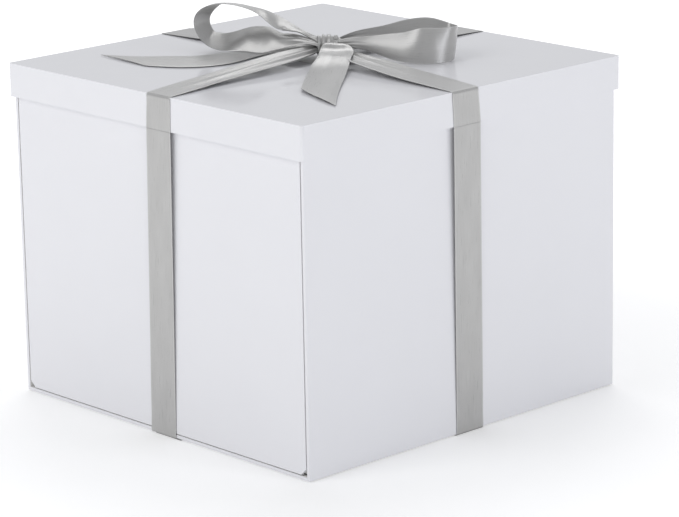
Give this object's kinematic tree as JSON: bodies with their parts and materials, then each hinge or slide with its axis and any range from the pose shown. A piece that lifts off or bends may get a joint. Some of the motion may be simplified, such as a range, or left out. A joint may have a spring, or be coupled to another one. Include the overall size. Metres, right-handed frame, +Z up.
{
  "type": "wedding card box",
  "caption": "Square rigid paper gift box with a lift-off lid, a separate front panel, a loose floor insert, and satin ribbon tied both ways into a bow on top.",
  "frame": {"origin": "centre of the footprint, at the level of the surface that the box stands on", "axes": "+X towards the right side wall, +Y towards the back wall (the separate front panel faces -Y), +Z up"},
  "size_m": [0.3208, 0.3208, 0.292],
  "materials": {
    "white_gloss_paper": "glossy laminated white paper over board",
    "greyboard": "greyboard lined with matt white paper",
    "lining_paper": "matt white uncoated paper",
    "insert_board": "matt white lined board",
    "mounting_tape": "matt double-sided tape with its release paper",
    "satin_ribbon": "silver-grey satin weave with a soft sheen"
  },
  "bodies": {
    "box": {"base_board": "greyboard", "base_wrap": "white_gloss_paper", "left_panel": "greyboard", "right_panel": "greyboard", "back_panel": "greyboard", "body_wrap": "white_gloss_paper", "front_panel": "greyboard", "front_panel_wrap": "white_gloss_paper", "left_flap": "greyboard", "right_flap": "greyboard", "left_flap_tape": "mounting_tape", "right_flap_tape": "mounting_tape", "front_hinge_strip": "lining_paper", "back_hinge_strip": "lining_paper", "left_hinge_strip": "lining_paper", "right_hinge_strip": "lining_paper", "back_left_corner_strip": "lining_paper", "back_right_corner_strip": "lining_paper", "ribbon_under_y": "satin_ribbon", "ribbon_under_x": "satin_ribbon", "ribbon_front_drop": "satin_ribbon", "ribbon_back_drop": "satin_ribbon", "ribbon_left_drop": "satin_ribbon", "ribbon_right_drop": "satin_ribbon"},
    "insert": {"floor_insert": "insert_board"},
    "lid": {"lid_top_board": "greyboard", "lid_front_skirt": "greyboard", "lid_back_skirt": "greyboard", "lid_left_skirt": "greyboard", "lid_right_skirt": "greyboard", "lid_wrap": "white_gloss_paper", "lid_liner": "lining_paper", "ribbon_front_band": "satin_ribbon", "ribbon_back_band": "satin_ribbon", "ribbon_left_band": "satin_ribbon", "ribbon_right_band": "satin_ribbon", "ribbon_crossing": "satin_ribbon", "bow_knot": "satin_ribbon", "bow_left_loop": "satin_ribbon", "bow_right_loop": "satin_ribbon", "bow_front_tail": "satin_ribbon", "bow_left_tail": "satin_ribbon"}
  },
  "joints": [
    {"name": "lid_lift", "type": "slide", "parent": "box", "child": "lid", "axis": [0, 0, 1], "range_m": [0, 0.06], "deforming": ["ribbon_front_drop", "ribbon_back_drop", "ribbon_left_drop", "ribbon_right_drop"]},
    {"name": "insert_lift", "type": "slide", "parent": "box", "child": "insert", "axis": [0, 0, 1], "range_m": [0, 0.2]}
  ]
}
